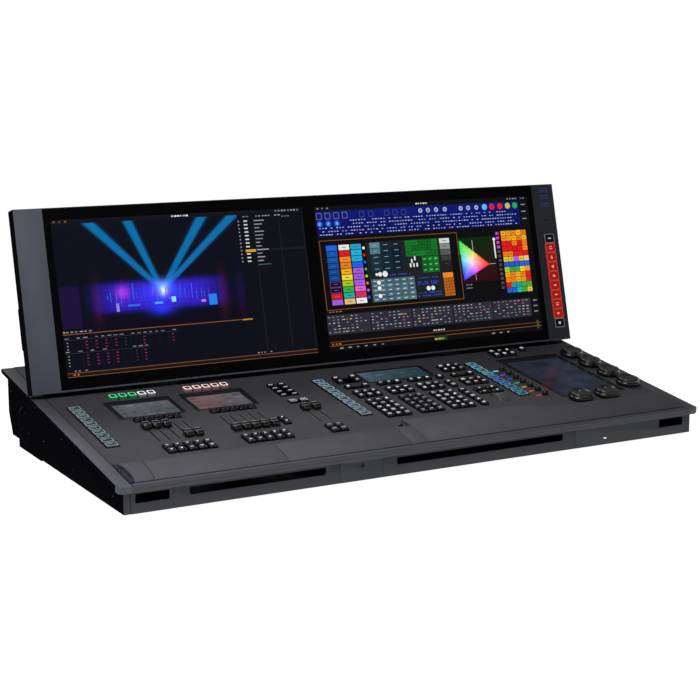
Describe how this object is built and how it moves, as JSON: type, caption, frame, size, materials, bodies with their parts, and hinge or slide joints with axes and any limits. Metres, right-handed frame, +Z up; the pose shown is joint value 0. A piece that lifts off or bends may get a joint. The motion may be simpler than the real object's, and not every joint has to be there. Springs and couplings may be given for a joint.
{
  "type": "lighting control desk",
  "caption": "Wedge-shaped stage lighting desk with a sloping deck of faders, keys, dials and small displays, two drawers and a tilting twin-screen wing.",
  "frame": {"origin": "centre of the footprint of the whole desk, on the surface that it stands on", "axes": "+X to the operator's right, +Y away from the operator, +Z up"},
  "size_m": [1.2204, 0.6274, 0.4623],
  "materials": {
    "case": "satin",
    "deck": "matte",
    "trim": "satin",
    "palm_rest": "matte",
    "black_plastic": "satin",
    "key": "satin",
    "lit_key": "satin",
    "red_key": "satin",
    "screen": "gloss",
    "steel": "satin",
    "board": "satin",
    "wheel": "satin"
  },
  "bodies": {
    "base": {"bottom_tray": "case", "left_cheek": "case", "right_cheek": "case", "rear_housing": "case", "front_lip": "trim", "front_fascia": "case", "power_supply": "steel", "main_board": "board", "deck_trim_left": "trim", "deck_trim_right": "trim", "deck_plate": "deck", "palm_rest_left": "palm_rest", "palm_rest_right": "palm_rest", "display_a": "screen", "display_b": "screen", "display_c": "screen", "touchscreen": "screen", "hinge_arm_left": "steel", "hinge_arm_right": "steel"},
    "wing": {"wing_shell": "case", "left_screen": "screen", "right_screen": "screen", "wing_key_panel": "black_plastic"},
    "drawer_left": {"drawer_left": "case"},
    "drawer_right": {"drawer_right": "case"},
    "fader_1": {"fader_1": "black_plastic"},
    "fader_2": {"fader_2": "black_plastic"},
    "fader_3": {"fader_3": "black_plastic"},
    "fader_4": {"fader_4": "black_plastic"},
    "fader_5": {"fader_5": "black_plastic"},
    "fader_6": {"fader_6": "black_plastic"},
    "fader_7": {"fader_7": "black_plastic"},
    "fader_8": {"fader_8": "black_plastic"},
    "fader_9": {"fader_9": "black_plastic"},
    "fader_10": {"fader_10": "black_plastic"},
    "fader_11": {"fader_11": "black_plastic"},
    "fader_12": {"fader_12": "black_plastic"},
    "encoder_1": {"encoder_1": "black_plastic"},
    "encoder_2": {"encoder_2": "black_plastic"},
    "encoder_3": {"encoder_3": "black_plastic"},
    "encoder_4": {"encoder_4": "black_plastic"},
    "encoder_5": {"encoder_5": "black_plastic"},
    "encoder_6": {"encoder_6": "black_plastic"},
    "colour_encoder_1": {"colour_encoder_1": "black_plastic"},
    "colour_encoder_2": {"colour_encoder_2": "black_plastic"},
    "colour_encoder_3": {"colour_encoder_3": "black_plastic"},
    "colour_encoder_4": {"colour_encoder_4": "black_plastic"},
    "colour_encoder_5": {"colour_encoder_5": "black_plastic"},
    "colour_encoder_6": {"colour_encoder_6": "black_plastic"},
    "colour_encoder_7": {"colour_encoder_7": "black_plastic"},
    "level_wheel": {"level_wheel": "wheel"},
    "module_a_keys": {"module_a_keys": "key"},
    "module_b_keys": {"module_b_keys": "key"},
    "playback_keys": {"playback_keys": "key"},
    "keypad_keys": {"keypad_keys": "key"},
    "shortcut_keys": {"shortcut_keys": "key"},
    "key_strip_1": {"key_strip_1": "lit_key"},
    "key_strip_2": {"key_strip_2": "lit_key"},
    "key_strip_3": {"key_strip_3": "lit_key"},
    "wing_keys": {"wing_keys": "red_key"}
  },
  "joints": [
    {"name": "wing_tilt", "type": "hinge", "parent": "base", "child": "wing", "pos_m": [0, 0.18641, 0.23815], "axis": [-1, 0, 0], "range_deg": [0, 30]},
    {"name": "drawer_left_slide", "type": "slide", "parent": "base", "child": "drawer_left", "axis": [0, -1, 0], "range_m": [0, 0.2]},
    {"name": "drawer_right_slide", "type": "slide", "parent": "base", "child": "drawer_right", "axis": [0, -1, 0], "range_m": [0, 0.2]},
    {"name": "fader_1_slide", "type": "slide", "parent": "base", "child": "fader_1", "axis": [0, 0.9895, 0.1444], "range_m": [-0.057, 0.003]},
    {"name": "fader_2_slide", "type": "slide", "parent": "base", "child": "fader_2", "axis": [0, 0.9895, 0.1444], "range_m": [-0.057, 0.003]},
    {"name": "fader_3_slide", "type": "slide", "parent": "base", "child": "fader_3", "axis": [0, 0.9895, 0.1444], "range_m": [-0.057, 0.003]},
    {"name": "fader_4_slide", "type": "slide", "parent": "base", "child": "fader_4", "axis": [0, 0.9895, 0.1444], "range_m": [0, 0.06]},
    {"name": "fader_5_slide", "type": "slide", "parent": "base", "child": "fader_5", "axis": [0, 0.9895, 0.1444], "range_m": [0, 0.06]},
    {"name": "fader_6_slide", "type": "slide", "parent": "base", "child": "fader_6", "axis": [0, 0.9895, 0.1444], "range_m": [0, 0.06]},
    {"name": "fader_7_slide", "type": "slide", "parent": "base", "child": "fader_7", "axis": [0, 0.9895, 0.1444], "range_m": [0, 0.06]},
    {"name": "fader_8_slide", "type": "slide", "parent": "base", "child": "fader_8", "axis": [0, 0.9895, 0.1444], "range_m": [0, 0.06]},
    {"name": "fader_9_slide", "type": "slide", "parent": "base", "child": "fader_9", "axis": [0, 0.9895, 0.1444], "range_m": [0, 0.06]},
    {"name": "fader_10_slide", "type": "slide", "parent": "base", "child": "fader_10", "axis": [0, 0.9895, 0.1444], "range_m": [0, 0.06]},
    {"name": "fader_11_slide", "type": "slide", "parent": "base", "child": "fader_11", "axis": [0, 0.9895, 0.1444], "range_m": [-0.057, 0.003]},
    {"name": "fader_12_slide", "type": "slide", "parent": "base", "child": "fader_12", "axis": [0, 0.9895, 0.1444], "range_m": [-0.057, 0.003]},
    {"name": "encoder_1_turn", "type": "hinge", "parent": "base", "child": "encoder_1", "pos_m": [0.5595, 0.04347, 0.10511], "axis": [0, -0.1444, 0.9895], "continuous": true},
    {"name": "encoder_2_turn", "type": "hinge", "parent": "base", "child": "encoder_2", "pos_m": [0.5595, -0.02085, 0.09573], "axis": [0, -0.1444, 0.9895], "continuous": true},
    {"name": "encoder_3_turn", "type": "hinge", "parent": "base", "child": "encoder_3", "pos_m": [0.5595, -0.08517, 0.08635], "axis": [0, -0.1444, 0.9895], "continuous": true},
    {"name": "encoder_4_turn", "type": "hinge", "parent": "base", "child": "encoder_4", "pos_m": [0.5595, -0.14949, 0.07696], "axis": [0, -0.1444, 0.9895], "continuous": true},
    {"name": "encoder_5_turn", "type": "hinge", "parent": "base", "child": "encoder_5", "pos_m": [0.4065, -0.19253, 0.07068], "axis": [0, -0.1444, 0.9895], "continuous": true},
    {"name": "encoder_6_turn", "type": "hinge", "parent": "base", "child": "encoder_6", "pos_m": [0.4705, -0.19253, 0.07068], "axis": [0, -0.1444, 0.9895], "continuous": true},
    {"name": "colour_encoder_1_turn", "type": "hinge", "parent": "base", "child": "colour_encoder_1", "pos_m": [0.3515, 0.0029, 0.09919], "axis": [0, -0.1444, 0.9895], "continuous": true},
    {"name": "colour_encoder_2_turn", "type": "hinge", "parent": "base", "child": "colour_encoder_2", "pos_m": [0.3515, -0.02253, 0.09548], "axis": [0, -0.1444, 0.9895], "continuous": true},
    {"name": "colour_encoder_3_turn", "type": "hinge", "parent": "base", "child": "colour_encoder_3", "pos_m": [0.3515, -0.04796, 0.09177], "axis": [0, -0.1444, 0.9895], "continuous": true},
    {"name": "colour_encoder_4_turn", "type": "hinge", "parent": "base", "child": "colour_encoder_4", "pos_m": [0.3515, -0.07339, 0.08806], "axis": [0, -0.1444, 0.9895], "continuous": true},
    {"name": "colour_encoder_5_turn", "type": "hinge", "parent": "base", "child": "colour_encoder_5", "pos_m": [0.3515, -0.09882, 0.08435], "axis": [0, -0.1444, 0.9895], "continuous": true},
    {"name": "colour_encoder_6_turn", "type": "hinge", "parent": "base", "child": "colour_encoder_6", "pos_m": [0.3515, -0.12426, 0.08064], "axis": [0, -0.1444, 0.9895], "continuous": true},
    {"name": "colour_encoder_7_turn", "type": "hinge", "parent": "base", "child": "colour_encoder_7", "pos_m": [0.3515, -0.14969, 0.07693], "axis": [0, -0.1444, 0.9895], "continuous": true},
    {"name": "level_wheel_turn", "type": "hinge", "parent": "base", "child": "level_wheel", "pos_m": [0.2515, -0.13531, 0.06286], "axis": [1, 0, 0], "continuous": true},
    {"name": "module_a_keys_press", "type": "slide", "parent": "base", "child": "module_a_keys", "axis": [0, 0.1444, -0.9895], "range_m": [0, 0.0015], "stiffness_N_per_m": 665, "springref_m": -0.003},
    {"name": "module_b_keys_press", "type": "slide", "parent": "base", "child": "module_b_keys", "axis": [0, 0.1444, -0.9895], "range_m": [0, 0.0015], "stiffness_N_per_m": 736, "springref_m": -0.003},
    {"name": "playback_keys_press", "type": "slide", "parent": "base", "child": "playback_keys", "axis": [0, 0.1444, -0.9895], "range_m": [0, 0.0015], "stiffness_N_per_m": 378, "springref_m": -0.003},
    {"name": "keypad_keys_press", "type": "slide", "parent": "base", "child": "keypad_keys", "axis": [0, 0.1444, -0.9895], "range_m": [0, 0.0015], "stiffness_N_per_m": 3846, "springref_m": -0.003},
    {"name": "shortcut_keys_press", "type": "slide", "parent": "base", "child": "shortcut_keys", "axis": [0, 0.1444, -0.9895], "range_m": [0, 0.0015], "stiffness_N_per_m": 300, "springref_m": -0.003},
    {"name": "key_strip_1_press", "type": "slide", "parent": "base", "child": "key_strip_1", "axis": [0, 0.1444, -0.9895], "range_m": [0, 0.0015], "stiffness_N_per_m": 523, "springref_m": -0.003},
    {"name": "key_strip_2_press", "type": "slide", "parent": "base", "child": "key_strip_2", "axis": [0, 0.1444, -0.9895], "range_m": [0, 0.0015], "stiffness_N_per_m": 523, "springref_m": -0.003},
    {"name": "key_strip_3_press", "type": "slide", "parent": "base", "child": "key_strip_3", "axis": [0, 0.1444, -0.9895], "range_m": [0, 0.0015], "stiffness_N_per_m": 523, "springref_m": -0.003},
    {"name": "wing_keys_press", "type": "slide", "parent": "wing", "child": "wing_keys", "axis": [0, 0.972, -0.2351], "range_m": [0, 0.0015], "stiffness_N_per_m": 444, "springref_m": -0.003}
  ]
}
